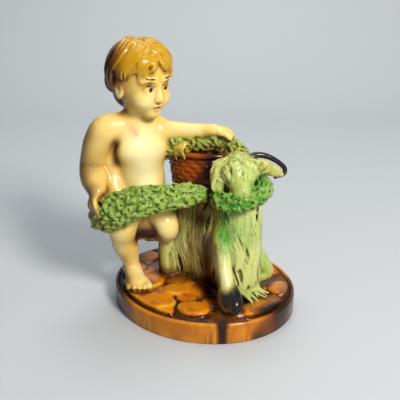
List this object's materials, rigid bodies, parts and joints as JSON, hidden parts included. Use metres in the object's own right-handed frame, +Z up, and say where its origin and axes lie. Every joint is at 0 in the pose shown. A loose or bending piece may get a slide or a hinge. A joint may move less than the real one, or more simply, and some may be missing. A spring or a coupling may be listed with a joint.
{
  "type": "majolica figurine",
  "caption": "Glazed earthenware figurine of a boy half kneeling on a long-haired goat, with a garland and a basket of leaves, on an oval base.",
  "frame": {"origin": "centre of the oval base's flat underside", "axes": "+Z up, +X along the base's long axis, the way the goat faces"},
  "size_m": [0.1592, 0.1378, 0.2102],
  "materials": {
    "majolica_glaze": "glossy"
  },
  "bodies": {
    "root": {"figurine": "majolica_glaze"}
  },
  "joints": []
}
